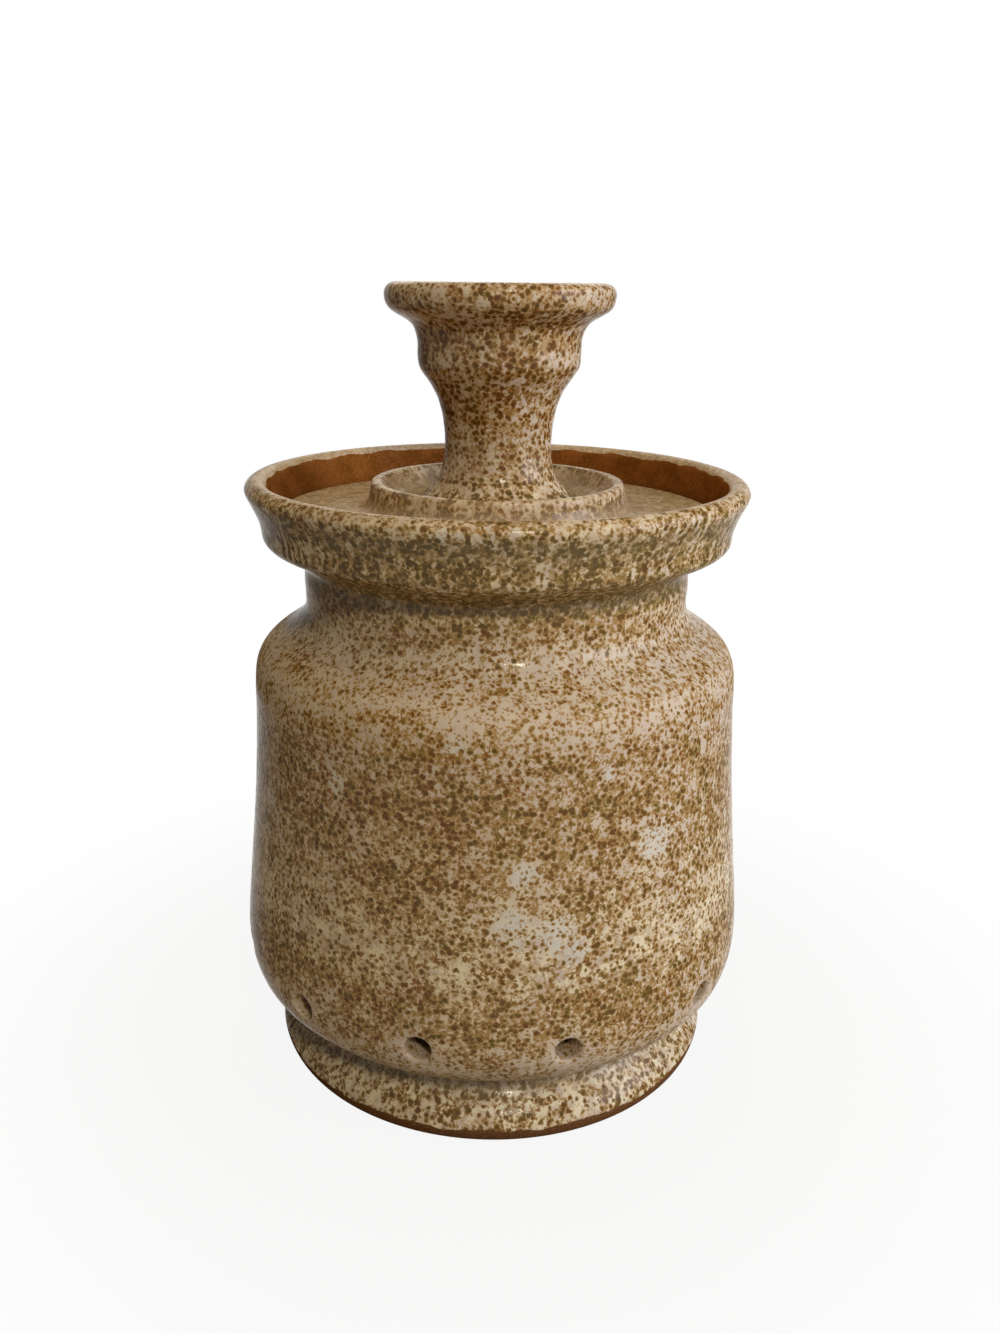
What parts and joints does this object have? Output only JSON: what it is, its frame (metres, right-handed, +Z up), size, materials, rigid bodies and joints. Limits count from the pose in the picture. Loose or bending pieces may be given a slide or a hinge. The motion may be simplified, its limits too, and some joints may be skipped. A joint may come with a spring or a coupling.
{
  "type": "garlic keeper",
  "caption": "Thrown stoneware garlic keeper: vented round jar with a necked shoulder and a lid seat in its flared rim, ringed drop-in lid and tall waisted cup knob, speckled tan glaze.",
  "frame": {"origin": "centre of the foot ring, on the plane it stands on", "axes": "+Z up along the axis the pot was thrown about; -Y is the front, between the two vents nearest the viewer; +X to the viewer's right"},
  "size_m": [0.1348, 0.1348, 0.2],
  "materials": {
    "speckled_glaze": "glossy speckled glaze over stoneware"
  },
  "bodies": {
    "jar": {"jar": "speckled_glaze"},
    "lid": {"lid": "speckled_glaze", "knob": "speckled_glaze"}
  },
  "joints": [
    {"name": "lid_lift", "type": "slide", "parent": "jar", "child": "lid", "axis": [0, 0, 1], "range_m": [0, 0.08]}
  ]
}
